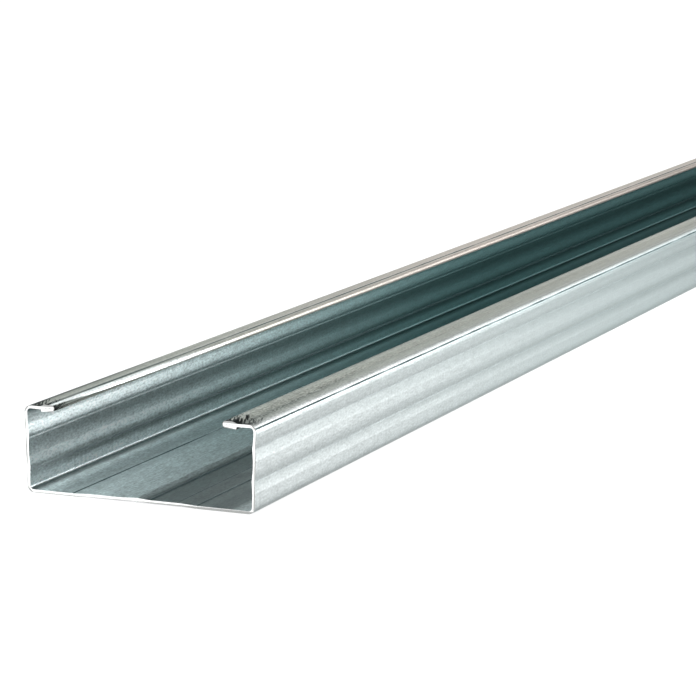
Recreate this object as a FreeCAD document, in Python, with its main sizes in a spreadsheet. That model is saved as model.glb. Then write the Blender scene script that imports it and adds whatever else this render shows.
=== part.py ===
# Ceiling furring channel, cold rolled from one strip of galvanised sheet.
# It lies on its web with the mouth up: +X runs along the profile, +Y across it, +Z up.
# The origin is on the floor under the middle of the web, halfway along the length.
import FreeCAD, Part
import math
import os

import Sketcher
from FreeCAD import Rotation, Vector

doc = FreeCAD.newDocument("furring_channel")


# Driving dimensions in millimetres

SIZES = {
    "length": 3000,           # length that the profile is sold in
    "width": 47,              # over the two flanges, at the web
    "height": 17,             # from the floor to the top of the hems
    "sheet": 0.55,            # thickness of the strip
    "bend_radius": 1.3,       # outside radius of the four long bends
    "lean": 0.45,             # how far each flange leans out at its top
    "near_lip": 6.85,         # how far a lip reaches in from its flange's outer corner
    "far_lip": 6.4,
    "lip_dip": 0.1,           # how far the single layer sags towards the hem
    "hem_rise": 0.3,          # how far a hem stands above the top bend
    "hem_flat": 2.1,          # width of the hem's flat top
    "hem_leg": 2.8,           # width of the edge that is folded back underneath
    "hem_gap": 0.05,          # gap between the two layers at the free edge
    "fold_gap": 0.2,          # gap between them at the fold
    "joggle": 1.0,            # width of the step that lifts the hem
    "joggle_radius": 0.9,
    "groove_depth": 0.17,     # the two long grooves rolled into each flange
    "groove_spacing": 6.1,
    "near_grooves_up": 0.8,   # how far their middle is above the middle of the flange
    "far_grooves_up": -0.45,
    "groove_fall": 2.0,       # width of the flank above a groove
    "groove_return": 2.3,     # width of the flank below a groove
    "groove_radius": 1.6,
    "near_line": 11.7,        # the two creases that bound the raised band of the web
    "far_line": 13.6,
    "band_ramp": 3.0,         # width over which the band rises next to a crease
    "band_rise": 0.18,
    "crease_radius": 1.5,
    "ridge_place": 0.6,       # crest of the ridge along the web, off the middle
    "ridge_rise": 0.18,
    "ridge_near": 2.6,        # width of the ridge's steep side
    "ridge_far": 3.4,         # width of its gentle side
}

sizes = doc.addObject("Spreadsheet::Sheet", "Sizes")
for row, (name, value) in enumerate(SIZES.items(), start=1):
    sizes.set(f"A{row}", name)
    sizes.set(f"B{row}", str(value))
    sizes.setAlias(f"B{row}", name)
doc.recompute()


# The strip's outer skin, followed from the near free edge round to the far one.
# Each corner is where two straight stretches would meet: across, up, and its bend radius.

BEND_TOP = "(Sizes.height - Sizes.hem_rise)"
FOLD_RADIUS = "(Sizes.sheet + Sizes.fold_gap / 2)"
JOGGLE_DROP = "(Sizes.hem_rise + Sizes.lip_dip)"


def on_flange(up, inset="0"):
    """The corner at that height on the leaning flange, set in where a groove runs."""
    across = f"Sizes.width / 2 + Sizes.lean * ({up}) / {BEND_TOP} - {inset}"
    return across, up


def groove(height):
    """The three corners of one shallow groove rolled along the flange."""
    return [
        (*on_flange(f"{height} - Sizes.groove_return"), "Sizes.groove_radius"),
        (*on_flange(height, "Sizes.groove_depth"), "Sizes.groove_radius"),
        (*on_flange(f"{height} + Sizes.groove_fall"), "Sizes.groove_radius"),
    ]


def lip_tip(lip):
    """Where the folded edge of a lip ends, across."""
    return f"(Sizes.width / 2 + Sizes.lean - {lip})"


def half(line, grooves_up, lip):
    """The corners on one side, from the crease in the web up to the hem."""
    tip = lip_tip(lip)
    grooves = f"{BEND_TOP} / 2 + {grooves_up}"
    return [
        (f"{line} - Sizes.band_ramp", "Sizes.band_rise", "Sizes.crease_radius"),
        (line, "0", "Sizes.crease_radius"),
        ("Sizes.width / 2", "0", "Sizes.bend_radius"),
        *groove(f"{grooves} - Sizes.groove_spacing / 2"),
        *groove(f"{grooves} + Sizes.groove_spacing / 2"),
        (*on_flange(BEND_TOP), "Sizes.bend_radius"),
        (f"{tip} + Sizes.hem_flat + Sizes.joggle", f"Sizes.height - {JOGGLE_DROP}", "Sizes.joggle_radius"),
        (f"{tip} + Sizes.hem_flat", "Sizes.height", "Sizes.joggle_radius"),
    ]


def fold(lip):
    """Where the fold of a hem begins, and where the free edge ends below it."""
    tip = lip_tip(lip)
    joggled = "(Sizes.hem_leg - Sizes.hem_flat) / Sizes.joggle"
    free_edge_up = f"Sizes.height - {joggled} * {JOGGLE_DROP} - 2.1 * Sizes.sheet - Sizes.hem_gap"
    return (f"{tip} + {FOLD_RADIUS}", "Sizes.height"), (f"{tip} + Sizes.hem_leg", free_edge_up)


def mirrored(corner):
    """The same corner on the near side."""
    across, *rest = corner
    return (f"-({across})", *rest)


NEAR = half("Sizes.near_line", "Sizes.near_grooves_up", "Sizes.near_lip")
FAR = half("Sizes.far_line", "Sizes.far_grooves_up", "Sizes.far_lip")
RIDGE = [
    ("Sizes.ridge_place - Sizes.ridge_near", "Sizes.band_rise", "Sizes.crease_radius"),
    ("Sizes.ridge_place", "Sizes.band_rise + Sizes.ridge_rise", "Sizes.crease_radius"),
    ("Sizes.ridge_place + Sizes.ridge_far", "Sizes.band_rise", "Sizes.crease_radius"),
]
CORNERS = [mirrored(corner) for corner in reversed(NEAR)] + RIDGE + FAR
NEAR_FOLD, NEAR_EDGE = [mirrored(place) for place in fold("Sizes.near_lip")]
FAR_FOLD, FAR_EDGE = fold("Sizes.far_lip")


sketch = doc.addObject("Sketcher::SketchObject", "SheetLine")
sketch.Placement.Rotation = Rotation(Vector(0, 1, 0), Vector(0, 0, 1), Vector(1, 0, 0), "ZXY")
sketch.setExpression("Placement.Base.x", "-Sizes.length / 2")

FIRST, LAST = 1, 2            # the ends of a line or an arc, as the sketcher counts them
ORIGIN = (-1, FIRST)


def number(expression):
    """The value of an expression over the sheet."""
    return float(sketch.evalExpression(expression))


def point(place):
    """A place given by two expressions, as a vector in the sketch."""
    return Vector(number(place[0]), number(place[1]), 0)


def dimension(kind, *where, size):
    """Adds one dimension and binds it to the sheet."""
    index = sketch.addConstraint(Sketcher.Constraint(kind, *where, number(size)))
    sketch.setExpression(f"Constraints[{index}]", size)


def pin(geometry, end, place):
    """Dimensions the place of one point from the origin."""
    for kind, size in (("DistanceX", place[0]), ("DistanceY", place[1])):
        dimension(kind, *ORIGIN, geometry, end, size=size)


def bend_at(before, corner, after, radius):
    """The round of one corner: centre, and where it leaves each of the two straights."""
    back = (before - corner).normalize()
    ahead = (after - corner).normalize()
    half_angle = back.getAngle(ahead) / 2
    centre = corner + (back + ahead).normalize() * (radius / math.sin(half_angle))
    setback = radius / math.tan(half_angle)
    return centre, corner + back * setback, corner + ahead * setback


def add_arc(centre, arrive, leave):
    """Adds an arc. Returns it with its ends in the order that the strip passes them."""
    order = (FIRST, LAST)
    ends = (arrive, leave)
    if (arrive - centre).cross(leave - centre).z < 0:
        order = (LAST, FIRST)
        ends = (leave, arrive)
    start, stop = [math.atan2(end.y - centre.y, end.x - centre.x) for end in ends]
    if stop < start:
        stop += 2 * math.pi
    circle = Part.Circle(centre, Vector(0, 0, 1), (arrive - centre).Length)
    return sketch.addGeometry(Part.ArcOfCircle(circle, start, stop)), order


def join(kind, *where):
    sketch.addConstraint(Sketcher.Constraint(kind, *where))


# The straight stretches and, between them, the tangent bends that round the corners

places = [point(place) for place in (NEAR_FOLD, *CORNERS, FAR_FOLD)]
bends = [
    bend_at(*places[first:first + 3], number(corner[2]))
    for first, corner in enumerate(CORNERS)
]
starts = [places[0]] + [leave for _, _, leave in bends]
stops = [arrive for _, arrive, _ in bends] + [places[-1]]
lines = [sketch.addGeometry(Part.LineSegment(*ends)) for ends in zip(starts, stops)]
pin(lines[0], FIRST, NEAR_FOLD)
for bend, corner, place, line, following in zip(bends, CORNERS, places[1:], lines, lines[1:]):
    arc, (arrive, leave) = add_arc(*bend)
    mark = sketch.addGeometry(Part.Point(place), True)
    pin(mark, FIRST, corner)
    join("PointOnObject", mark, FIRST, line)
    join("PointOnObject", mark, FIRST, following)
    join("Tangent", line, LAST, arc, arrive)
    join("Tangent", arc, leave, following, FIRST)
    dimension("Radius", arc, size=corner[2])
pin(lines[-1], LAST, FAR_FOLD)


def add_hem(top_line, top_end, fold_start, free_edge):
    """Turns the strip right round at a lip's tip and runs it back underneath."""
    radius = number(FOLD_RADIUS)
    centre = fold_start - Vector(0, radius, 0)
    reach = free_edge - centre
    outward = math.copysign(1, reach.x)
    turned = math.acos(radius / reach.Length) * outward
    touch = Rotation(Vector(0, 0, 1), -math.degrees(turned)).multVec(reach.normalize() * radius)
    ends = (fold_start, centre + touch)
    if outward < 0:
        ends = ends[::-1]
    arc, order = add_arc(centre, *ends)
    if outward < 0:
        order = order[::-1]
    back = sketch.addGeometry(Part.LineSegment(centre + touch, free_edge))
    join("Tangent", top_line, top_end, arc, order[0])
    join("Tangent", arc, order[1], back, FIRST)
    dimension("Radius", arc, size=FOLD_RADIUS)
    return back


near_hem = add_hem(lines[0], FIRST, places[0], point(NEAR_EDGE))
far_hem = add_hem(lines[-1], LAST, places[-1], point(FAR_EDGE))
pin(near_hem, LAST, NEAR_EDGE)
pin(far_hem, LAST, FAR_EDGE)
doc.recompute()


# The strip's thickness and length

section = doc.addObject("Part::Offset2D", "Section")
section.Source = sketch
section.Mode = "Skin"
section.Join = "Arc"
section.Fill = True
section.setExpression("Value", "-Sizes.sheet")

channel = doc.addObject("Part::Extrusion", "Channel")
channel.Base = section
channel.DirMode = "Custom"
channel.Dir = Vector(1, 0, 0)
channel.Solid = True
channel.setExpression("LengthFwd", "Sizes.length")
channel.Label = "furring_channel"
doc.recompute()


# Check the tree, then write the piece

for item in doc.Objects:
    if "Invalid" in item.State or "Error" in item.State:
        raise RuntimeError(f"{item.Label}: {item.State}")
    shape = getattr(item, "Shape", None)
    if shape is not None and (shape.isNull() or not shape.isValid()):
        raise RuntimeError(f"{item.Label} has no valid shape")

os.makedirs("parts", exist_ok=True)
channel.Shape.exportStep(f"parts/{channel.Label}.step")
box = channel.Shape.BoundBox
print(channel.Label, round(channel.Shape.Volume), "mm3", box)
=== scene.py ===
import bpy
import math
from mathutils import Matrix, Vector


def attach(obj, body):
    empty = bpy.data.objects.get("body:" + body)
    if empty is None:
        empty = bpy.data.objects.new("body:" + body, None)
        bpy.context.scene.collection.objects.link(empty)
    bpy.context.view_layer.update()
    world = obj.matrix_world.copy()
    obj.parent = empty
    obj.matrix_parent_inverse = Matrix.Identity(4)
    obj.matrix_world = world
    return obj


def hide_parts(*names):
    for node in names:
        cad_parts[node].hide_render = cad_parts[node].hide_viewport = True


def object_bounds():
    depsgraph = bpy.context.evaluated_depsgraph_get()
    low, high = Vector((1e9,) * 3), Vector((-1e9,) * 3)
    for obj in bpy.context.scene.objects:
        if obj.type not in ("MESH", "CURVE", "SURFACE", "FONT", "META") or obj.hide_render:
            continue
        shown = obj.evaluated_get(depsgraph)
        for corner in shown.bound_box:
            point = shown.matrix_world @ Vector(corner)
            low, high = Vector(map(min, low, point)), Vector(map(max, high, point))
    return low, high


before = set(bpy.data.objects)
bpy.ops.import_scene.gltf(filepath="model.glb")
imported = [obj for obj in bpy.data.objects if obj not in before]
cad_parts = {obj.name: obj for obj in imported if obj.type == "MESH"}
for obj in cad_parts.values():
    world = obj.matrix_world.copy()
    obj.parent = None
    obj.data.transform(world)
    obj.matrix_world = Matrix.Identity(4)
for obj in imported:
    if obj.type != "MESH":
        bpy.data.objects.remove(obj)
cad_box = [list(corner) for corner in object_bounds()]


# Camera: a long lens a little above the mouth, looking in at the cut end and along the
# profile, so that only the first third of a metre shows and the rest runs off at the right.

IMAGE_SIZE = 696
FOCAL_PIXELS = 2905
SENSOR = 36
NEAR_END_X = cad_box[0][0]
CAMERA_FROM_CUT = Vector((-0.4650, -0.2419, 0.1247))
CAMERA_AZIMUTH = -66.73
CAMERA_ELEVATION = 10.36

bpy.context.scene.view_settings.view_transform = "Standard"
camera_data = bpy.data.cameras.new("camera")
camera_data.sensor_width = SENSOR
camera_data.lens = FOCAL_PIXELS / IMAGE_SIZE * SENSOR
camera_data.clip_start = 0.01
camera = bpy.data.objects.new("camera", camera_data)
camera.location = Vector((NEAR_END_X, 0, 0)) + CAMERA_FROM_CUT
camera.rotation_euler = (math.radians(90 - CAMERA_ELEVATION), 0, math.radians(CAMERA_AZIMUTH))
bpy.context.collection.objects.link(camera)
bpy.context.scene.camera = camera


# Studio: white paper under the profile, in a dark room with bright cards all round. Three
# soft boxes stand by the end that is seen near by. None of it belongs to the channel.

PAPER_SIZE = 14
PAPER_SHADOW = 0.35           # how much of the paper's look comes from the light on it
PAPER_COLOUR = (0.9, 0.9, 0.9, 1)
PAPER_GLOW = 0.95             # brightness below the horizon, beyond the paper
HORIZON_EDGE = 1.0            # degrees above and below the horizon over which that fades out
ROOM = 0.02                   # brightness of the room between the cards
ROOM_TINT = (0.97, 1.0, 1.0, 1)
CARD_EDGE = 4                 # degrees over which a card fades out
CARDS = (                     # azimuth and elevation of the middle, width, height, brightness
    (0, 76, 400, 30, 2.0),
    (0, 47.5, 120, 25, 1.5),
    (100, 47.5, 80, 25, 1.2),
    (180, 30, 80, 60, 2.0),
    (-60, 17.5, 40, 35, 2.1),
    (-110, 17.5, 60, 35, 2.1),
    (60, 17.5, 40, 35, 2.1),
    (110, 17.5, 60, 35, 1.5),
    (-25, 12.5, 25, 11, 1.0),
    (25, 12.5, 25, 11, 1.6),
    (-25, 2.5, 25, 9, 2.1),
    (25, 2.5, 30, 9, 2.1),
)
SOFT_BOX_AIM = 0.03           # how far in from the cut end the soft boxes point
SOFT_BOXES = (                # name, azimuth, distance, height above the floor, width, height, power
    ("right_box", -50, 0.45, 0.14, 0.14, 0.1, 1.8),
    ("low_right_box", -50, 0.45, 0.04, 0.14, 0.08, 2.2),
    ("camera_box", -165, 0.7, 0.4, 0.3, 0.3, 2.4),
)


def new_material(name):
    """An empty material. Returns it with its tree and its output."""
    material = bpy.data.materials.new(name)
    material.use_nodes = True
    material.node_tree.nodes.clear()
    output = material.node_tree.nodes.new("ShaderNodeOutputMaterial")
    return material, material.node_tree, output


def wire(tree, kind, inputs=None, **settings):
    """A node with its settings, and its inputs set to values or linked to sockets."""
    made = tree.nodes.new(kind)
    for key, value in settings.items():
        setattr(made, key, value)
    for key, value in (inputs or {}).items():
        if isinstance(value, bpy.types.NodeSocket):
            tree.links.new(value, made.inputs[key])
        else:
            made.inputs[key].default_value = value
    return made


def maths(tree, operation, *values):
    """One sum on numbers or sockets. Returns its result."""
    return wire(tree, "ShaderNodeMath", dict(enumerate(values)), operation=operation).outputs[0]


def product(tree, first, *factors):
    """Numbers or sockets multiplied together."""
    for factor in factors:
        first = maths(tree, "MULTIPLY", first, factor)
    return first


def between(tree, value, low, high, out_low=0.0, out_high=1.0):
    """A smooth step from one value to another over a range."""
    limits = {"Value": value, "From Min": low, "From Max": high, "To Min": out_low, "To Max": out_high}
    return wire(tree, "ShaderNodeMapRange", limits, interpolation_type="SMOOTHSTEP").outputs[0]


paper_material, paper_tree, paper_output = new_material("white_paper")
lit_paper = wire(paper_tree, "ShaderNodeBsdfDiffuse", {"Color": PAPER_COLOUR}).outputs[0]
plain_white = wire(paper_tree, "ShaderNodeEmission", {"Color": (1, 1, 1, 1), "Strength": 1}).outputs[0]
paper_seen = wire(paper_tree, "ShaderNodeMixShader", {0: PAPER_SHADOW, 1: plain_white, 2: lit_paper}).outputs[0]
ray = wire(paper_tree, "ShaderNodeLightPath").outputs
seen = maths(paper_tree, "MAXIMUM", ray["Is Camera Ray"], ray["Is Glossy Ray"])
seen = maths(paper_tree, "MAXIMUM", seen, ray["Is Transmission Ray"])
paper_look = wire(paper_tree, "ShaderNodeMixShader", {0: seen, 1: lit_paper, 2: paper_seen}).outputs[0]
paper_tree.links.new(paper_look, paper_output.inputs["Surface"])

half_paper = PAPER_SIZE / 2
paper_corners = [(half_paper * x, half_paper * y, 0) for x, y in ((-1, -1), (1, -1), (1, 1), (-1, 1))]
paper_mesh = bpy.data.meshes.new("floor_paper")
paper_mesh.from_pydata(paper_corners, [], [(0, 1, 2, 3)])
paper_mesh.materials.append(paper_material)
floor = bpy.data.objects.new("floor_paper", paper_mesh)
bpy.context.collection.objects.link(floor)

world = bpy.data.worlds.new("studio")
world.use_nodes = True
bpy.context.scene.world = world
sky = world.node_tree
sky.nodes.clear()
direction = wire(sky, "ShaderNodeTexCoord").outputs["Generated"]
split = wire(sky, "ShaderNodeSeparateXYZ", {0: direction}).outputs
azimuth = maths(sky, "DEGREES", maths(sky, "ARCTAN2", split["Y"], split["X"]))
elevation = maths(sky, "DEGREES", maths(sky, "ARCSINE", split["Z"]))


def inside(angle, middle, span):
    """One where an angle lies within a span round a middle, with a soft edge."""
    off = maths(sky, "ABSOLUTE", maths(sky, "SUBTRACT", angle, middle))
    return between(sky, off, (span - CARD_EDGE) / 2, (span + CARD_EDGE) / 2, 1.0, 0.0)


brightness = ROOM
for card_azimuth, card_elevation, width, height, card_brightness in CARDS:
    turned = maths(sky, "WRAP", maths(sky, "SUBTRACT", azimuth, card_azimuth), 180.0, -180.0)
    card = product(sky, inside(turned, 0.0, width), inside(elevation, card_elevation, height))
    brightness = maths(sky, "ADD", brightness, product(sky, card, card_brightness))
pale_below = between(sky, elevation, -HORIZON_EDGE, HORIZON_EDGE, PAPER_GLOW, 0.0)
brightness = maths(sky, "MAXIMUM", brightness, pale_below)
background = wire(sky, "ShaderNodeBackground", {"Color": ROOM_TINT, "Strength": brightness})
wire(sky, "ShaderNodeOutputWorld", {"Surface": background.outputs[0]})

aim = Vector((NEAR_END_X + SOFT_BOX_AIM, 0, 0))
for name, box_azimuth, distance, up, width, height, power in SOFT_BOXES:
    lamp_data = bpy.data.lights.new(name, "AREA")
    lamp_data.shape = "RECTANGLE"
    lamp_data.size = width
    lamp_data.size_y = height
    lamp_data.energy = power
    lamp = bpy.data.objects.new(name, lamp_data)
    around = math.radians(box_azimuth)
    lamp.location = aim + Vector((distance * math.cos(around), distance * math.sin(around), up))
    lamp.rotation_euler = (aim - lamp.location).to_track_quat("-Z", "Y").to_euler()
    bpy.context.collection.objects.link(lamp)


# The channel: one strip of zinc-coated sheet steel, rolled cold into a shallow C with
# grooved flanges and hemmed lips, and sheared square at both ends.

MM = 0.001
SHEET = 0.55 * MM
LENGTH = cad_box[1][0] - cad_box[0][0]
WIDTH = 47 * MM
HEIGHT = 17 * MM
LEAN = 0.45 * MM              # how far each flange leans out at its top
BEND_RADIUS = 1.3 * MM
NEAR_LIP = 6.85 * MM
FAR_LIP = 6.4 * MM
HEM_RISE = 0.3 * MM
LIP_DIP = 0.1 * MM
HEM_FLAT = 2.1 * MM
HEM_LEG = 2.8 * MM
HEM_GAP = 0.05 * MM
HEM_LAYERS = 2.1              # thicknesses of sheet from the hem's top down to its free edge
FOLD_RADIUS = SHEET + 0.1 * MM
JOGGLE = 1.0 * MM
JOGGLE_RADIUS = 0.9 * MM
GROOVE_DEPTH = 0.17 * MM
GROOVE_SPACING = 6.1 * MM
NEAR_GROOVES_UP = 0.8 * MM    # how far their middle is above the middle of the flange
FAR_GROOVES_UP = -0.45 * MM
GROOVE_FALL = 2.0 * MM
GROOVE_RETURN = 2.3 * MM
GROOVE_RADIUS = 1.6 * MM
NEAR_LINE = 11.7 * MM         # creases that bound the raised band of the web
FAR_LINE = 13.6 * MM
BAND_RISE = 0.18 * MM
BAND_RAMP = 3.0 * MM
CREASE_RADIUS = 1.5 * MM
RIDGE = ((-2.0 * MM, 0.0), (0.6 * MM, 0.18 * MM), (4.0 * MM, 0.0))  # across, and rise over the band
BEND_TOP = HEIGHT - HEM_RISE
ARC_STEP = math.radians(9)
FOLD_STEPS = 20
LONGEST_STRAIGHT = 0.8 * MM
MITRE_LIMIT = 0.8             # at a bend the inner skin is set off by no more than one over this
SCORES = (                    # lines scored by the rolls: across and up of each, half width, depth
    ((-11.7 * MM, 0), 0.16 * MM, 0.05 * MM),
    ((-7.6 * MM, BAND_RISE), 0.12 * MM, 0.02 * MM),
    ((-2.1 * MM, BAND_RISE), 0.16 * MM, 0.05 * MM),
    ((14.0 * MM, 0), 0.14 * MM, 0.04 * MM),
)
SCORE_CLEARANCE = 1.4         # half widths round a score that are kept free of other points


def on_flange(up, inset=0.0):
    """Across and up of the flange's outer skin at a height."""
    return WIDTH / 2 + LEAN * up / BEND_TOP - inset, up


def half_section(line, grooves_up, lip):
    """Corners (across, up, bend radius) of one side, from the web's crease to the hem."""
    tip = WIDTH / 2 + LEAN - lip
    side = [(line - BAND_RAMP, BAND_RISE, CREASE_RADIUS), (line, 0, CREASE_RADIUS), (WIDTH / 2, 0, BEND_RADIUS)]
    for way in (-1, 1):
        middle = BEND_TOP / 2 + grooves_up + way * GROOVE_SPACING / 2
        side.append((*on_flange(middle - GROOVE_RETURN), GROOVE_RADIUS))
        side.append((*on_flange(middle, GROOVE_DEPTH), GROOVE_RADIUS))
        side.append((*on_flange(middle + GROOVE_FALL), GROOVE_RADIUS))
    side.append((*on_flange(BEND_TOP), BEND_RADIUS))
    side.append((tip + HEM_FLAT + JOGGLE, BEND_TOP - LIP_DIP, JOGGLE_RADIUS))
    side.append((tip + HEM_FLAT, HEIGHT, JOGGLE_RADIUS))
    return side, tip


def fold_round(tip):
    """The strip's last stretch: round the fold and back underneath to the free edge."""
    centre = Vector((tip + FOLD_RADIUS, HEIGHT - FOLD_RADIUS))
    drop = (HEM_LEG - HEM_FLAT) / JOGGLE * (HEM_RISE + LIP_DIP)
    edge = Vector((tip + HEM_LEG, HEIGHT - drop - HEM_LAYERS * SHEET - HEM_GAP))
    reach = edge - centre
    last = math.atan2(reach.y, reach.x) + 2 * math.pi - math.acos(FOLD_RADIUS / reach.length)
    arc = []
    for step in range(FOLD_STEPS + 1):
        angle = math.pi / 2 + (last - math.pi / 2) * step / FOLD_STEPS
        arc.append(centre + FOLD_RADIUS * Vector((math.cos(angle), math.sin(angle))))
    return arc + [edge]


def rounded(corners):
    """A line through corners, each rounded by an arc. The first and last stay open."""
    line = []
    for before, corner, after in zip(corners, corners[1:], corners[2:]):
        point = Vector(corner[:2])
        back = (Vector(before[:2]) - point).normalized()
        ahead = (Vector(after[:2]) - point).normalized()
        half_angle = back.angle(ahead) / 2
        radius = corner[2]
        centre = point + (back + ahead).normalized() * (radius / math.sin(half_angle))
        start = point + back * (radius / math.tan(half_angle)) - centre
        turn = (math.pi - 2 * half_angle) * (1 if back.cross(ahead) < 0 else -1)
        steps = max(2, round(abs(turn) / ARC_STEP))
        for step in range(steps + 1):
            angle = turn * step / steps
            cosine, sine = math.cos(angle), math.sin(angle)
            line.append(centre + Vector((start.x * cosine - start.y * sine, start.x * sine + start.y * cosine)))
    return line


def spaced(line, longest):
    """The same line with its long straights divided."""
    out = [line[0]]
    for before, after in zip(line, line[1:]):
        parts = max(1, math.ceil((after - before).length / longest))
        out.extend(before.lerp(after, part / parts) for part in range(1, parts + 1))
    return out


def nearest(before, after, place):
    """The point of a straight stretch that is nearest to a place."""
    step = after - before
    way = max(0.0, min(1.0, (place - before).dot(step) / step.length_squared))
    return before + step * way


def nearest_on(line, place):
    """The point of a line that is nearest to a place, and the number of its stretch."""
    spots = [nearest(before, after, place) for before, after in zip(line, line[1:])]
    best = min(range(len(spots)), key=lambda index: (spots[index] - place).length)
    return spots[best], best


def with_scores(line, scores):
    """The line with three more points at each score. Returns points and score depths."""
    marked = [(point, 0.0) for point in line]
    for place, half_width, depth in scores:
        middle, stretch = nearest_on([point for point, _ in marked], Vector(place))
        shoulder = (marked[stretch + 1][0] - marked[stretch][0]).normalized() * half_width
        clear = half_width * SCORE_CLEARANCE
        marked = [mark for mark in marked if mark[1] or (mark[0] - middle).length > clear]
        _, stretch = nearest_on([point for point, _ in marked], middle)
        marked[stretch + 1:stretch + 1] = [(middle - shoulder, 0.0), (middle, depth), (middle + shoulder, 0.0)]
    return [point for point, _ in marked], [depth for _, depth in marked]


near_side, near_tip = half_section(NEAR_LINE, NEAR_GROOVES_UP, NEAR_LIP)
far_side, far_tip = half_section(FAR_LINE, FAR_GROOVES_UP, FAR_LIP)
near_fold = [Vector((-point.x, point.y)) for point in fold_round(near_tip)]
far_fold = fold_round(far_tip)
section_corners = [
    (*near_fold[0], 0),
    *((-side_across, side_up, radius) for side_across, side_up, radius in reversed(near_side)),
    *((ridge_across, BAND_RISE + rise, CREASE_RADIUS) for ridge_across, rise in RIDGE),
    *far_side,
    (*far_fold[0], 0),
]
skin_line = near_fold[::-1] + rounded(section_corners) + far_fold
strip, score = with_scores(spaced(skin_line, LONGEST_STRAIGHT), SCORES)

inward = []                   # from each point of the outer skin to the inner one, in thicknesses
for index, point in enumerate(strip):
    before = strip[max(index - 1, 0)]
    after = strip[min(index + 1, len(strip) - 1)]
    ahead = (after - point).normalized() if index < len(strip) - 1 else (point - before).normalized()
    back = (point - before).normalized() if index else ahead
    tangent = (ahead + back).normalized()
    inward.append(Vector((-tangent.y, tangent.x)) / max(MITRE_LIMIT, tangent.dot(ahead)))

developed = [0.0]             # how far round the strip each point is
for before, after in zip(strip, strip[1:]):
    developed.append(developed[-1] + (after - before).length)

loop_points = strip + [point + away * SHEET for point, away in zip(reversed(strip), reversed(inward))]
loop_edges = [(index, (index + 1) % len(loop_points)) for index in range(len(loop_points))]
profile_mesh = bpy.data.meshes.new("rolled_channel")
profile_mesh.from_pydata([(point.x, point.y, 0) for point in loop_points], loop_edges, [])


def on_points(name, kind, field, values):
    """Stores one value for each point of the profile."""
    layer = profile_mesh.attributes.new(name, kind, "POINT")
    layer.data.foreach_set(field, values)


def across_the_length(vectors):
    """Vectors of the section stood up across the length, as one row of numbers."""
    return [number for vector in vectors for number in (0.0, vector.x, vector.y)]


def both_skins(values):
    """Values of the outer skin, followed by the same for the inner skin on the way back."""
    return list(values) + list(reversed(values))


on_points("place", "FLOAT_VECTOR", "vector", across_the_length(loop_points))
on_points("inward", "FLOAT_VECTOR", "vector", across_the_length(both_skins(inward)))
on_points("developed", "FLOAT", "value", both_skins(developed))
on_points("score", "FLOAT", "value", both_skins(score))
on_points("mouth_side", "FLOAT", "value", [0.0] * len(strip) + [1.0] * len(strip))


# Surface of the channel: hot-dip zinc with a fine crystal grain, drawn into faint lines by
# the rolls. Over it lie bands of painted shade and painted highlight, lines of painted shade
# along the creases, grooves and bends, and painted shade that deepens along the mouth. The
# lips carry a dry, beige film, and the shear has smeared black marks over them at the end.

# One zinc on both skins: the dark outer tone and the pale inner one are set to how bright each side looks,
# painted light and shade
ZINC_OUTSIDE = (0.43, 0.455, 0.455, 1)
ZINC_INSIDE = (0.87, 0.94, 0.95, 1)
LIP_FILM = (0.325, 0.335, 0.305, 1)
EDGE_TINT = (0.62, 0.65, 0.65, 1)  # how little the film reflects at a grazing look
# colour of the painted highlight on the far hem
HIGHLIGHT_ZINC = (0.78, 0.81, 0.81, 1)
# painted shade of the lines along creases, grooves and bends
CREASE_SHADE_DARK = (0.035, 0.055, 0.058, 1)
SMEAR_BLACK = (0.004, 0.004, 0.004, 1)

FAR_TONE = 0.5                # painted shade: tone of the mouth a quarter of a metre in, next to the end
FAR_TONE_OUTSIDE = 0.93
FAR_TONE_LIPS = 0.3           # how much lighter than that the lips stay
FAR_TONE_NEAR_LIP = 0.18      # how much darker than the far lip the near one gets
SHADE_RED = 1.05               # how much faster red dims than green and blue, in the painted shade
DEPTH_RED = 1.7               # the same along the channel

ROUGH = 0.26
ROUGH_GRAIN = 0.06            # how much rougher it is on the grain's pale crystals
ROUGH_LIPS = 0.22             # on the lips' dry film and the shear's marks
ROUGH_SHADE_LINES = 0.5            # on the dark lines
ROUGH_BEND = 0.2              # beside the near bend
RELIEF = 0.12                 # strength of the relief of grain and drawn lines
RELIEF_DEPTH = 0.02 * MM

GRAIN_OUTSIDE = 1.2           # contrast of the grain
GRAIN_INSIDE = 1.8
GRAIN_LIPS = 0.4              # how much more of it there is on the lips
GRAIN_NEAR_LIP = 1.2
GRAIN_SPECKLES = 6.0
GRAIN_WEB = 2.4
GRAIN_FAR = 0.5               # share of it that is left further in
LINES = 0.25                  # contrast of the drawn lines
LINES_LIPS = 1.1
DARKEST = 0.15                # tone that grain and lines stop at

FINE_GRAINS = 2600.0          # crystals in a metre across the strip
FINE_STRETCH = 0.45           # crystals along it for each one across
COARSE_GRAINS = 1500.0
COARSE_STRETCH = 0.3
COARSE_ON_WEB = 0.35          # share of the web's grain that is coarse
CRYSTALS = 0.7                # share of the grain that is crystals, where the rest is frost
FROST = 0.25                  # patches of frost for each crystal across
FINE_LINES = 2600.0           # drawn lines in a metre across the strip
FINE_LINE_ENDS = 9.0          # how often in a metre along it they begin and end
BROAD_LINES = 420.0
BROAD_LINE_ENDS = 3.0
FINE_LINE_SHARE = 0.6
LINE_PATCHES = (60.0, 1500.0)         # patches where the painted shade lines thin out, in a metre along and across
PATCH_TONES = (0.25, 0.6)
PATCHY = 0.55                   # strength that is left on them
STREAKS = (260.0, 3000.0)     # streaks of the shear's marks in a metre along and across
STREAK_SLANT = 0.45
SMEAR_SLOPE = (-0.03, 0.07)   # levels of the marks over which they go from none to full
LINE_SLOPE = (0.0, 0.8)       # the same for a dark line, from its edge to its middle
MID_TONES = (0.35, 0.65)      # tones of a noise that are spread to full contrast

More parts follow.
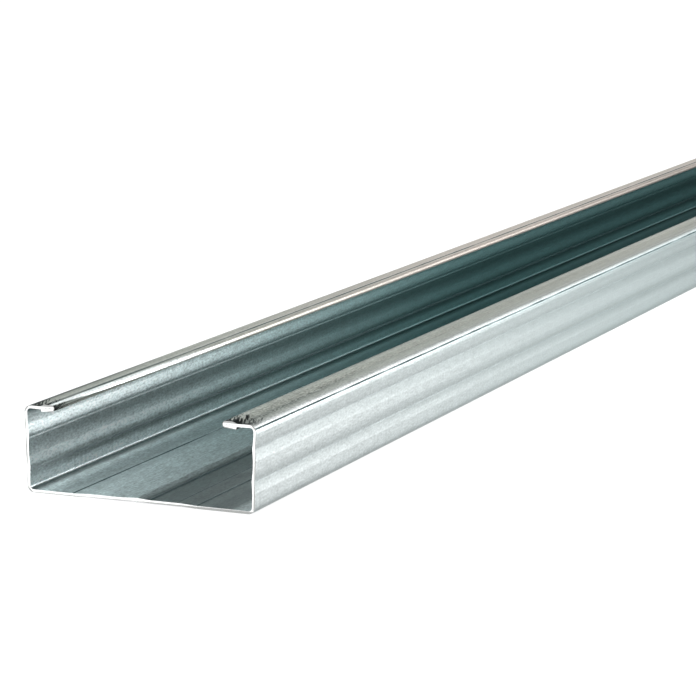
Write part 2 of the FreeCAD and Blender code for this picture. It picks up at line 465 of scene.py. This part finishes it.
# Distances from the near end, in metres, between which each effect comes or goes
END_FADE = (0.015, 0.07)
CUT_FADE = (0.0, 0.03)
GRAIN_FADE = (0.05, 0.2)
DEPTH_FADE = (0.01, 0.25)
HIGHLIGHT_SPREAD = (0.0, 0.02)
HIGHLIGHT_FADE = (0.03, 0.09)

AT_THE_CUT = 0.55             # share of their strength that the far flange's painted shade bands have at the cut
NEAR_LIP_FILM = (-1.7 * MM, 0.4 * MM)  # where the lips' film ends, from the middle of each bend
FAR_LIP_FILM = (-0.7 * MM, 0.2 * MM)
NEAR_LIP_EDGE = (1 * MM, 2 * MM)       # beyond the near bend, so that it takes in the whole near lip
HIGHLIGHT_STRIPE = (18.3 * MM, HEIGHT)     # across and up of the painted highlight on the far hem's top
HIGHLIGHT_WIDTHS = (0.42 * MM, 0.62 * MM)  # half width at the cut, and further in
HIGHLIGHT_EDGE = 0.35 * MM
HIGHLIGHT_DRIFT = -0.0167         # how it wanders across for each metre along
SPECKLE_DRIFT = 0.03
SPECKLES = ((-21.6 * MM, BEND_TOP), 0.35 * MM, 0.8 * MM)  # middle, half width, edge
WEB = ((0, BAND_RISE), 23.0 * MM, 1.2 * MM)
NEAR_BEND_FILM = ((-WIDTH / 2 - LEAN, 16.0 * MM), 0.8 * MM, 0.8 * MM)

# Lines of painted shade along creases, grooves and bends: across and up of each on the outer skin, half width,
# strength, on the mouth side
CREASE_SHADE_LINES = (
    ((-11.7 * MM, 0), 0.36 * MM, 0.9, True),
    ((-7.6 * MM, BAND_RISE), 0.2 * MM, 0.4, True),
    ((-2.1 * MM, BAND_RISE), 0.45 * MM, 0.97, True),
    ((14.0 * MM, 0), 0.42 * MM, 1.0, True),
    ((WIDTH / 2, 4.2 * MM), 0.4 * MM, 0.85, True),
    ((WIDTH / 2, 10.35 * MM), 0.2 * MM, 0.5, True),
    ((-WIDTH / 2, 6.1 * MM), 0.18 * MM, 0.3, False),
    ((-WIDTH / 2, 12.3 * MM), 0.18 * MM, 0.3, False),
    ((-WIDTH / 2 - LEAN, 16.0 * MM), 0.3 * MM, 0.98, False),
    ((19.05 * MM, BEND_TOP), 0.45 * MM, 1.0, False),
    ((-17.85 * MM, HEIGHT), 0.2 * MM, 0.45, False),
)
# Bands of painted shade: middle of each on the outer skin, half width, edge, strength, on the
# mouth side. Where the strength is below nothing the band is a painted highlight.
SHADE_AND_HIGHLIGHT_BANDS = (
    ((WIDTH / 2, 3.95 * MM), 1.0 * MM, 2.0 * MM, 0.66, True),
    ((WIDTH / 2, 9.4 * MM), 1.7 * MM, 2.2 * MM, 0.43, True),
    ((WIDTH / 2 + LEAN, 15.5 * MM), 1.7 * MM, 1.6 * MM, 0.66, True),
    ((0, BAND_RISE), 23.4 * MM, 1.2 * MM, 0.54, True),
    ((22.2 * MM, 0), 1.3 * MM, 1.4 * MM, 0.5, True),
    ((-WIDTH / 2, 8.75 * MM), 8.0 * MM, 2.0 * MM, 0.5, True),
    ((-10.2 * MM, BAND_RISE), 9.2 * MM, 2.0 * MM, 0.63, True),
    ((-16.25 * MM, 0), 1.8 * MM, 2.4 * MM, 0.35, True),
    ((-1.9 * MM, BAND_RISE), 0.7 * MM, 1.2 * MM, 0.6, True),
    ((12.1 * MM, BAND_RISE), 1.2 * MM, 2.0 * MM, 0.15, True),
    ((15.3 * MM, 0), 0.9 * MM, 1.4 * MM, 0.15, True),
    ((-WIDTH / 2, 0.9 * MM), 0.8 * MM, 2.0 * MM, 0.22, False),
    ((-WIDTH / 2, 5.95 * MM), 1.0 * MM, 2.2 * MM, 0.27, False),
    ((-WIDTH / 2, 12.0 * MM), 1.0 * MM, 2.2 * MM, 0.26, False),
    ((-WIDTH / 2, 10.6 * MM), 0.5 * MM, 1.4 * MM, 0.12, False),
    ((-WIDTH / 2 - LEAN, 14.8 * MM), 0.9 * MM, 1.6 * MM, 0.16, False),
    ((-21.1 * MM, BEND_TOP), 0.9 * MM, 2.2 * MM, 0.14, False),
    ((-WIDTH / 2 - LEAN, 15.6 * MM), 0.35 * MM, 0.5 * MM, 0.45, False),
    ((-23.5 * MM, BEND_TOP), 0.5 * MM, 1.6 * MM, -0.45, False),
    ((-17.25 * MM, 16.85 * MM), 0.2 * MM, 0.3 * MM, -1.2, False),
)
# The same near the cut end only, painted shade over the lips and bends there
END_SHADE_BANDS = (
    ((-21.1 * MM, BEND_TOP), 0.9 * MM, 2.2 * MM, 0.38),
    ((23.2 * MM, BEND_TOP), 1.0 * MM, 0.8 * MM, 0.75),
    ((19.8 * MM, BEND_TOP), 0.5 * MM, 0.7 * MM, 0.5),
    ((17.56 * MM, 16.55 * MM), 0.35 * MM, 0.3 * MM, 0.85),
)


def shader_group(name, numbers, outputs):
    """A node group with named number inputs. Returns it with what goes in and what comes out."""
    group = bpy.data.node_groups.new(name, "ShaderNodeTree")
    for label, value in numbers.items():
        socket = group.interface.new_socket(label, in_out="INPUT", socket_type="NodeSocketFloat")
        socket.default_value = value
    for label in outputs:
        group.interface.new_socket(label, in_out="OUTPUT", socket_type="NodeSocketFloat")
    return group, wire(group, "NodeGroupInput").outputs, wire(group, "NodeGroupOutput").inputs


def rest_of(tree, value):
    """What is left of one without a value."""
    return maths(tree, "SUBTRACT", 1.0, value)


def weighed(tree, first, second, first_share):
    """Two values added by their shares of one."""
    return maths(tree, "ADD", product(tree, first, first_share), product(tree, second, 1 - first_share))


def stretched_noise(tree, along_strip, across_strip, along_scale, across_scale, shift=0.0, detail=2.0):
    """Noise over the strip, with its own scale along and across it."""
    place = wire(tree, "ShaderNodeCombineXYZ", {
        "X": product(tree, along_strip, along_scale),
        "Y": product(tree, across_strip, across_scale),
        "Z": shift,
    })
    noise = wire(tree, "ShaderNodeTexNoise", {"Vector": place.outputs[0], "Scale": 1.0, "Detail": detail})
    return noise.outputs[0]


grain, grain_in, grain_out = shader_group(
    "zinc_grain",
    {"Along": 0.0, "Across": 0.0, "Grains per Metre": FINE_GRAINS, "Stretch": FINE_STRETCH},
    ["Tone", "Height"],
)
grain_along = product(grain, grain_in["Along"], grain_in["Grains per Metre"], grain_in["Stretch"])
grain_across = product(grain, grain_in["Across"], grain_in["Grains per Metre"])
crystals = stretched_noise(grain, grain_along, grain_across, 1.0, 1.0)
frost = stretched_noise(grain, grain_along, grain_across, FROST, FROST, shift=9.0)
grain.links.new(weighed(grain, crystals, frost, CRYSTALS), grain_out["Tone"])
grain.links.new(crystals, grain_out["Height"])

lines, lines_in, lines_out = shader_group(
    "roll_lines",
    {"Along": 0.0, "Across": 0.0, "Lines per Metre": FINE_LINES},
    ["Tone", "Height"],
)
lines_place = (lines_in["Along"], lines_in["Across"])
fine = stretched_noise(lines, *lines_place, FINE_LINE_ENDS, lines_in["Lines per Metre"])
broad = stretched_noise(lines, *lines_place, BROAD_LINE_ENDS, BROAD_LINES, shift=7.0)
lines.links.new(weighed(lines, fine, broad, FINE_LINE_SHARE), lines_out["Tone"])
lines.links.new(fine, lines_out["Height"])

# Painted shade along one crease, groove or bend, thinned out in patches
crease_shade_line, dark_in, dark_out = shader_group(
    "crease_shade_line",
    {"Along": 0.0, "Across": 0.0, "Place": 0.0, "Half Width": 0.2 * MM, "Strength": 1.0},
    ["Mask"],
)
off_line = maths(crease_shade_line, "ABSOLUTE", maths(crease_shade_line, "SUBTRACT", dark_in["Across"], dark_in["Place"]))
near_line = rest_of(crease_shade_line, maths(crease_shade_line, "DIVIDE", off_line, dark_in["Half Width"]))
patches = stretched_noise(crease_shade_line, dark_in["Along"], dark_in["Across"], *LINE_PATCHES, shift=3.0)
patch_left = between(crease_shade_line, patches, *PATCH_TONES, PATCHY, 1.0)
line_depth = product(crease_shade_line, between(crease_shade_line, near_line, *LINE_SLOPE), patch_left, dark_in["Strength"])
crease_shade_line.links.new(line_depth, dark_out["Mask"])

soft_band, band_in, band_out = shader_group(
    "soft_band",
    {"Across": 0.0, "Place": 0.0, "Half Width": 1 * MM, "Edge": 1 * MM},
    ["Mask"],
)
off_band = maths(soft_band, "ABSOLUTE", maths(soft_band, "SUBTRACT", band_in["Across"], band_in["Place"]))
past_edge = maths(soft_band, "SUBTRACT", off_band, band_in["Half Width"])
past_share = maths(soft_band, "DIVIDE", past_edge, product(soft_band, band_in["Edge"], 0.5))
soft_band.links.new(between(soft_band, past_share, -1.0, 1.0, 1.0, 0.0), band_out["Mask"])

shear_smear, smear_in, smear_out = shader_group(
    "shear_smear",
    {"Along": 0.0, "Across": 0.0, "Reach": 7 * MM, "Density": 1.1},
    ["Mask"],
)
smear_drift = product(shear_smear, smear_in["Along"], STREAK_SLANT)
slanted = maths(shear_smear, "ADD", smear_in["Across"], smear_drift)
streaks = stretched_noise(shear_smear, smear_in["Along"], slanted, *STREAKS, shift=11.0)
streaks = between(shear_smear, streaks, *MID_TONES)
fading = rest_of(shear_smear, maths(shear_smear, "DIVIDE", smear_in["Along"], smear_in["Reach"]))
smear_level = maths(shear_smear, "SUBTRACT", streaks, 1.0)
smear_level = maths(shear_smear, "ADD", smear_level, product(shear_smear, fading, smear_in["Density"]))
shear_smear.links.new(between(shear_smear, smear_level, *SMEAR_SLOPE), smear_out["Mask"])


def developed_at(section_across, section_up):
    """How far round the strip the place nearest to a point is."""
    spot, stretch = nearest_on(strip, Vector((section_across, section_up)))
    return developed[stretch] + (spot - strip[stretch]).length


def value_of(tree, name):
    """A value stored on the mesh."""
    return wire(tree, "ShaderNodeAttribute", attribute_name=name).outputs["Fac"]


def effect(tree, group, inputs):
    """A shared effect in a material. Returns its outputs."""
    return wire(tree, "ShaderNodeGroup", inputs, node_tree=group).outputs


def blended(tree, second_share, first, second):
    """A colour between two colours or sockets."""
    inputs = {0: second_share, 6: first, 7: second}
    return wire(tree, "ShaderNodeMix", inputs, data_type="RGBA").outputs[2]


zinc, zinc_tree, zinc_output = new_material("galvanised_sheet")
along = value_of(zinc_tree, "along")
across = value_of(zinc_tree, "developed")
mouth_side = value_of(zinc_tree, "mouth_side")
outside = rest_of(zinc_tree, mouth_side)


def band_mask(place, half_width, edge, measured=across):
    """One on a band along the strip, round a place on its outer skin."""
    inputs = {"Across": measured, "Place": developed_at(*place), "Half Width": half_width, "Edge": edge}
    return effect(zinc_tree, soft_band, inputs)["Mask"]


def wandering(drift):
    """The place across the strip, measured from lines that wander over it."""
    return maths(zinc_tree, "MULTIPLY_ADD", along, drift, across)


# Where things are: both lips, the near lip alone, the web, and what is close to the end
near_bend = developed_at(-WIDTH / 2 - LEAN, BEND_TOP)
far_bend = developed_at(WIDTH / 2 + LEAN, BEND_TOP)
near_film = between(zinc_tree, across, near_bend + NEAR_LIP_FILM[0], near_bend + NEAR_LIP_FILM[1], 1.0, 0.0)
far_film = between(zinc_tree, across, far_bend + FAR_LIP_FILM[0], far_bend + FAR_LIP_FILM[1])
on_lips = product(zinc_tree, outside, maths(zinc_tree, "MAXIMUM", near_film, far_film))
near_lip = between(zinc_tree, across, near_bend + NEAR_LIP_EDGE[0], near_bend + NEAR_LIP_EDGE[1], 1.0, 0.0)
near_lip = product(zinc_tree, on_lips, near_lip)
on_web = product(zinc_tree, band_mask(*WEB), mouth_side)
near_the_end = between(zinc_tree, along, *END_FADE, 1.0, 0.0)
at_the_cut = between(zinc_tree, along, *CUT_FADE, AT_THE_CUT, 1.0)

# Marks: lines of painted shade along the creases, a painted highlight on the far hem, and the shear's black
crease_shade = 0.0
for place, half_width, strength, in_mouth in CREASE_SHADE_LINES:
    shade_line = effect(zinc_tree, crease_shade_line, {
        "Along": along, "Across": across,
        "Place": developed_at(*place), "Half Width": half_width, "Strength": strength,
    })["Mask"]
    crease_shade = maths(zinc_tree, "MAXIMUM", crease_shade, product(zinc_tree, shade_line, mouth_side if in_mouth else outside))
# Painted highlight along the far hem, drifting towards the fold further in
highlight_width = between(zinc_tree, along, *HIGHLIGHT_SPREAD, *HIGHLIGHT_WIDTHS)
painted_highlight = band_mask(HIGHLIGHT_STRIPE, highlight_width, HIGHLIGHT_EDGE, wandering(HIGHLIGHT_DRIFT))
painted_highlight = product(zinc_tree, painted_highlight, outside, between(zinc_tree, along, *HIGHLIGHT_FADE, 1.0, 0.0))
smear = effect(zinc_tree, shear_smear, {"Along": along, "Across": across})["Mask"]
smear = product(zinc_tree, smear, on_lips, rest_of(zinc_tree, painted_highlight))

# Grain and drawn lines, as a tone round one
grains = effect(zinc_tree, grain, {"Along": along, "Across": across})
coarse_grains = effect(zinc_tree, grain, {
    "Along": along, "Across": across, "Grains per Metre": COARSE_GRAINS, "Stretch": COARSE_STRETCH,
})
drawn_lines = effect(zinc_tree, lines, {"Along": along, "Across": across})
speckles = product(zinc_tree, band_mask(*SPECKLES, wandering(SPECKLE_DRIFT)), outside, near_the_end)
grain_amount = between(zinc_tree, mouth_side, 0.0, 1.0, GRAIN_OUTSIDE, GRAIN_INSIDE)
for where, more in (
    (on_lips, GRAIN_LIPS),
    (product(zinc_tree, near_lip, near_the_end), GRAIN_NEAR_LIP),
    (speckles, GRAIN_SPECKLES),
    (on_web, GRAIN_WEB),
):
    grain_amount = maths(zinc_tree, "MULTIPLY_ADD", where, more, grain_amount)
grain_amount = product(zinc_tree, grain_amount, between(zinc_tree, along, *GRAIN_FADE, 1.0, GRAIN_FAR))
coarser = maths(zinc_tree, "SUBTRACT", coarse_grains["Tone"], grains["Tone"])
coarse_share = product(zinc_tree, on_web, COARSE_ON_WEB)
grain_tone = maths(zinc_tree, "MULTIPLY_ADD", coarser, coarse_share, grains["Tone"])
grain_shade = product(zinc_tree, maths(zinc_tree, "SUBTRACT", grain_tone, 0.5), grain_amount)
lines_amount = between(zinc_tree, on_lips, 0.0, 1.0, LINES, LINES_LIPS)
lines_shade = product(zinc_tree, maths(zinc_tree, "SUBTRACT", drawn_lines["Tone"], 0.5), lines_amount)
shade = maths(zinc_tree, "ADD", maths(zinc_tree, "ADD", grain_shade, lines_shade), 1.0)
shade = maths(zinc_tree, "MAXIMUM", shade, DARKEST)

# Painted shade: the bands, and the painted shade that deepens along the channel
painted_shade = 1.0
for place, half_width, edge, strength, in_mouth in SHADE_AND_HIGHLIGHT_BANDS:
    covered = product(zinc_tree, band_mask(place, half_width, edge), mouth_side if in_mouth else outside)
    if place[0] >= WIDTH / 2:
        strength = product(zinc_tree, at_the_cut, strength)
    painted_shade = product(zinc_tree, painted_shade, rest_of(zinc_tree, product(zinc_tree, covered, strength)))
for place, half_width, edge, strength in END_SHADE_BANDS:
    covered = product(zinc_tree, band_mask(place, half_width, edge), outside, near_the_end)
    painted_shade = product(zinc_tree, painted_shade, rest_of(zinc_tree, product(zinc_tree, covered, strength)))
# Painted shade that darkens the mouth, and less so the outside, further in from the end
far_tone = between(zinc_tree, mouth_side, 0.0, 1.0, FAR_TONE_OUTSIDE, FAR_TONE)
far_tone = maths(zinc_tree, "ADD", far_tone, product(zinc_tree, on_lips, FAR_TONE_LIPS))
far_tone = maths(zinc_tree, "SUBTRACT", far_tone, product(zinc_tree, near_lip, FAR_TONE_NEAR_LIP))
deeper = between(zinc_tree, along, *DEPTH_FADE)
dimming = maths(zinc_tree, "MULTIPLY_ADD", deeper, maths(zinc_tree, "SUBTRACT", far_tone, 1.0), 1.0)
painted_shade_red = maths(zinc_tree, "POWER", painted_shade, SHADE_RED)
painted_shade_red = product(zinc_tree, painted_shade_red, maths(zinc_tree, "POWER", dimming, DEPTH_RED))
painted_shade = product(zinc_tree, painted_shade, dimming)
painted_shade_tint = wire(zinc_tree, "ShaderNodeCombineXYZ", {"X": painted_shade_red, "Y": painted_shade, "Z": painted_shade}).outputs[0]


def vector_maths(tree, operation, first, second):
    """One sum on vectors, or a vector and the number that scales it. Returns its result."""
    inputs = {0: first, "Scale" if operation == "SCALE" else 1: second}
    return wire(tree, "ShaderNodeVectorMath", inputs, operation=operation).outputs[0]


zinc_colour = blended(zinc_tree, mouth_side, ZINC_OUTSIDE, ZINC_INSIDE)
zinc_colour = blended(zinc_tree, on_lips, zinc_colour, LIP_FILM)
zinc_colour = vector_maths(zinc_tree, "MULTIPLY", zinc_colour, painted_shade_tint)
zinc_colour = blended(zinc_tree, painted_highlight, zinc_colour, HIGHLIGHT_ZINC)
zinc_colour = vector_maths(zinc_tree, "SCALE", zinc_colour, shade)
zinc_colour = blended(zinc_tree, crease_shade, zinc_colour, CREASE_SHADE_DARK)
zinc_colour = blended(zinc_tree, smear, zinc_colour, SMEAR_BLACK)

dryness = maths(zinc_tree, "ADD", ROUGH, product(zinc_tree, grains["Tone"], ROUGH_GRAIN))
dry_film = product(zinc_tree, maths(zinc_tree, "MAXIMUM", on_lips, smear), ROUGH_LIPS)
dryness = maths(zinc_tree, "ADD", dryness, dry_film)
dryness = maths(zinc_tree, "MULTIPLY_ADD", crease_shade, ROUGH_SHADE_LINES, dryness)
on_near_bend = product(zinc_tree, band_mask(*NEAR_BEND_FILM), outside)
dryness = maths(zinc_tree, "MULTIPLY_ADD", on_near_bend, ROUGH_BEND, dryness)

relief = weighed(zinc_tree, grains["Height"], drawn_lines["Height"], 0.5)
bump = wire(zinc_tree, "ShaderNodeBump", {"Height": relief, "Strength": RELIEF, "Distance": RELIEF_DEPTH})
skin = wire(zinc_tree, "ShaderNodeBsdfPrincipled", {
    "Base Color": zinc_colour, "Metallic": 1, "Roughness": dryness,
    "Specular Tint": EDGE_TINT, "Normal": bump.outputs[0],
})
zinc_tree.links.new(skin.outputs[0], zinc_output.inputs["Surface"])


# Cut ends: the bare steel of the strip, torn to a pale grain by the shear. Along the outer
# skin the edge is painted dark, a painted shadow like the thin contact shadow under the web.

TORN_GREY = (0.66, 0.66, 0.65, 1)
TORN_PALE = (0.74, 0.74, 0.73, 1)
TEARS = 1800.0                # in a metre of the strip's section
EDGE_SHADOW_DARK = (0.16, 0.16, 0.155, 1)
EDGE_SHADOW_SHARE = 0.85                # share of that painted shadow at the outer skin
EDGE_SHADOW_DEPTH = (0.05, 0.3)   # where it fades out, as shares of the strip's thickness
CUT_METALLIC = 0.15
CUT_ROUGH = 0.55

cut, cut_tree, cut_output = new_material("sheared_edge")
tears = stretched_noise(cut_tree, 0.0, value_of(cut_tree, "developed"), 0.0, TEARS, shift=5.0, detail=3.0)
cut_colour = blended(cut_tree, between(cut_tree, tears, *MID_TONES), TORN_GREY, TORN_PALE)
edge_shadow = between(cut_tree, value_of(cut_tree, "mouth_side"), *EDGE_SHADOW_DEPTH, EDGE_SHADOW_SHARE, 0.0)
cut_colour = blended(cut_tree, edge_shadow, cut_colour, EDGE_SHADOW_DARK)
bare = wire(cut_tree, "ShaderNodeBsdfPrincipled", {
    "Base Color": cut_colour, "Metallic": CUT_METALLIC, "Roughness": CUT_ROUGH,
})
cut_tree.links.new(bare.outputs[0], cut_output.inputs["Surface"])


# Rolling: the closed outline of the strip's section is drawn out along its length. Stations
# crowd towards the end that is seen near by, and the scores and slow waves are pressed in.

WAVES_ACROSS = 90.0           # slow waves in a metre across the strip

roll = bpy.data.node_groups.new("roll_forming", "GeometryNodeTree")


def group_input(tree, name, kind):
    """Adds one named input to a tree. Returns what the modifier knows it by."""
    return tree.interface.new_socket(name, in_out="INPUT", socket_type=kind).identifier


group_input(roll, "Section", "NodeSocketGeometry")
ROLL_INPUTS = {
    group_input(roll, "Length", "NodeSocketFloat"): LENGTH,
    group_input(roll, "Start", "NodeSocketFloat"): NEAR_END_X,
    group_input(roll, "Stations", "NodeSocketInt"): 150,
    group_input(roll, "Crowding", "NodeSocketFloat"): 2.2,
    group_input(roll, "Wave Depth", "NodeSocketFloat"): 0.03 * MM,
    group_input(roll, "Waves per Metre", "NodeSocketFloat"): 22.0,
    group_input(roll, "Seed", "NodeSocketFloat"): 4.0,
    group_input(roll, "Sheet", "NodeSocketMaterial"): zinc,
    group_input(roll, "Cut Ends", "NodeSocketMaterial"): cut,
}
roll.interface.new_socket("Channel", in_out="OUTPUT", socket_type="NodeSocketGeometry")
roll_in = wire(roll, "NodeGroupInput").outputs


def roll_node(kind, inputs=None, **settings):
    """A node of the rolling. Returns its first output."""
    return wire(roll, kind, inputs, **settings).outputs[0]


def point_x():
    """How far along each point is."""
    return roll_node("ShaderNodeSeparateXYZ", {0: roll_node("GeometryNodeInputPosition")})


def stored(name, kind):
    """A value stored on the section's points."""
    return roll_node("GeometryNodeInputNamedAttribute", {"Name": name}, data_type=kind)


# The rail, with a station at each of its points
unit_line = roll_node("GeometryNodeCurvePrimitiveLine", {"Start": (0, 0, 0), "End": (1, 0, 0)})
station_count = maths(roll, "ADD", roll_in["Stations"], 1.0)
stations = roll_node("GeometryNodeResampleCurve", {"Curve": unit_line, "Count": station_count})
crowded = maths(roll, "POWER", point_x(), roll_in["Crowding"])
station_x = maths(roll, "MULTIPLY", crowded, roll_in["Length"])
station_place = roll_node("ShaderNodeCombineXYZ", {"X": station_x})
rail = roll_node("GeometryNodeSetPosition", {"Geometry": stations, "Position": station_place})
outline = roll_node("GeometryNodeMeshToCurve", {"Mesh": roll_in["Section"]})
swept = roll_node("GeometryNodeCurveToMesh", {"Curve": rail, "Profile Curve": outline, "Fill Caps": True})
swept_x = point_x()
noted = roll_node(
    "GeometryNodeStoreNamedAttribute",
    {"Geometry": swept, "Name": "along", "Value": swept_x},
    data_type="FLOAT", domain="POINT",
)

# The place of each point: the section's own, pressed inwards by scores and waves
wave_place = roll_node("ShaderNodeCombineXYZ", {
    "X": maths(roll, "MULTIPLY", swept_x, roll_in["Waves per Metre"]),
    "Y": maths(roll, "MULTIPLY", stored("developed", "FLOAT"), WAVES_ACROSS),
    "Z": roll_in["Seed"],
})
waves = roll_node(
    "ShaderNodeTexNoise",
    {"Vector": wave_place, "Scale": 1.0, "Detail": 2.0},
    noise_dimensions="3D",
)
wave_depth = maths(roll, "MULTIPLY", waves, roll_in["Wave Depth"])
pressed_in = maths(roll, "ADD", wave_depth, stored("score", "FLOAT"))
push = vector_maths(roll, "SCALE", stored("inward", "FLOAT_VECTOR"), pressed_in)
section_place = vector_maths(roll, "ADD", stored("place", "FLOAT_VECTOR"), push)
length_place = roll_node("ShaderNodeCombineXYZ", {"X": maths(roll, "ADD", swept_x, roll_in["Start"])})
channel_place = vector_maths(roll, "ADD", section_place, length_place)
rolled = roll_node("GeometryNodeSetPosition", {"Geometry": noted, "Position": channel_place})

# Only the two end faces have more than four corners
face_corners = wire(roll, "GeometryNodeInputMeshFaceNeighbors").outputs["Vertex Count"]
is_end = roll_node("FunctionNodeCompare", {2: face_corners, 3: 4}, data_type="INT", operation="GREATER_THAN")
is_side = roll_node("FunctionNodeBooleanMath", {0: is_end}, operation="NOT")
smooth = roll_node("GeometryNodeSetShadeSmooth", {"Geometry": rolled, "Shade Smooth": is_side}, domain="FACE")
real = roll_node("GeometryNodeRealizeInstances", {"Geometry": smooth})
coated = roll_node("GeometryNodeSetMaterial", {"Geometry": real, "Material": roll_in["Sheet"]})
sheared = roll_node(
    "GeometryNodeSetMaterial",
    {"Geometry": coated, "Selection": is_end, "Material": roll_in["Cut Ends"]},
)
wire(roll, "NodeGroupOutput", {0: sheared})

channel = bpy.data.objects.new("rolled_channel", profile_mesh)
bpy.context.collection.objects.link(channel)
rolling = channel.modifiers.new("roll_forming", "NODES")
rolling.node_group = roll
for identifier, value in ROLL_INPUTS.items():
    rolling[identifier] = value
graph = bpy.context.evaluated_depsgraph_get()
solid_mesh = bpy.data.meshes.new_from_object(channel.evaluated_get(graph))
channel.modifiers.clear()
channel.data = solid_mesh
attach(channel, "root")
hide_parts("furring_channel")


# Shear burrs: zinc and steel smeared over the open folds of the hems by the shear, and a
# small torn flake that hangs under the middle of the web at the end that is seen near by.

BURR_RECESS = 0.03 * MM
BURR_DEPTH = 0.2 * MM
BURR_FILL = 0.9               # how far through the sheet's thickness a plug reaches
FOLD_POINTS = 29              # points of the strip from its free edge round to the joggle
FLAKE = ((-0.4, 0.42), (0.2, 0.2), (0.5, 0.03), (0.75, 0.03), (1.05, 0.2), (1.6, 0.42))  # across, up in mm
BURR_GRAINS = 2500.0          # in a metre
BURR_DARK = (0.34, 0.35, 0.35, 1)
BURR_PALE = (0.66, 0.66, 0.65, 1)
BURR_METALLIC = 0.4
BURR_ROUGH = 0.5

burr, burr_tree, burr_output = new_material("torn_burr")
burr_place = wire(burr_tree, "ShaderNodeTexCoord").outputs["Object"]
burr_noise = wire(burr_tree, "ShaderNodeTexNoise", {"Vector": burr_place, "Scale": BURR_GRAINS, "Detail": 3.0})
burr_tone = between(burr_tree, burr_noise.outputs[0], *MID_TONES)
burr_colour = blended(burr_tree, burr_tone, BURR_DARK, BURR_PALE)
torn_metal = wire(burr_tree, "ShaderNodeBsdfPrincipled", {
    "Base Color": burr_colour, "Metallic": BURR_METALLIC, "Roughness": BURR_ROUGH,
})
burr_tree.links.new(torn_metal.outputs[0], burr_output.inputs["Surface"])

burr_points = []
burr_faces = []


def add_burr(edge_points, end):
    """A thin closed plug with that outline (across, up), just inside one end."""
    inwards = 1 if end < 0 else -1
    first = len(burr_points)
    size = len(edge_points)
    for depth in (BURR_RECESS, BURR_RECESS + BURR_DEPTH):
        burr_points.extend((end + inwards * depth, point.x, point.y) for point in edge_points)
    area = sum(before.cross(after) for before, after in zip(edge_points, edge_points[1:] + edge_points[:1]))
    order = list(range(size))
    if area * inwards > 0:
        order.reverse()
    burr_faces.append([first + index for index in order])
    burr_faces.append([first + size + index for index in reversed(order)])
    for index, following in zip(order, order[1:] + order[:1]):
        burr_faces.append([first + following, first + index, first + size + index, first + size + following])


skins = list(zip(strip, inward))
for end in (cad_box[0][0], cad_box[1][0]):
    for hem in (skins[:FOLD_POINTS], skins[-FOLD_POINTS:]):
        add_burr([point + away * (BURR_FILL * SHEET) for point, away in hem], end)
add_burr([Vector(corner) * MM for corner in FLAKE], NEAR_END_X)

burr_mesh = bpy.data.meshes.new("shear_burrs")
burr_mesh.from_pydata(burr_points, [], burr_faces)
burr_mesh.materials.append(burr)
burrs = bpy.data.objects.new("shear_burrs", burr_mesh)
bpy.context.collection.objects.link(burrs)
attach(burrs, "root")
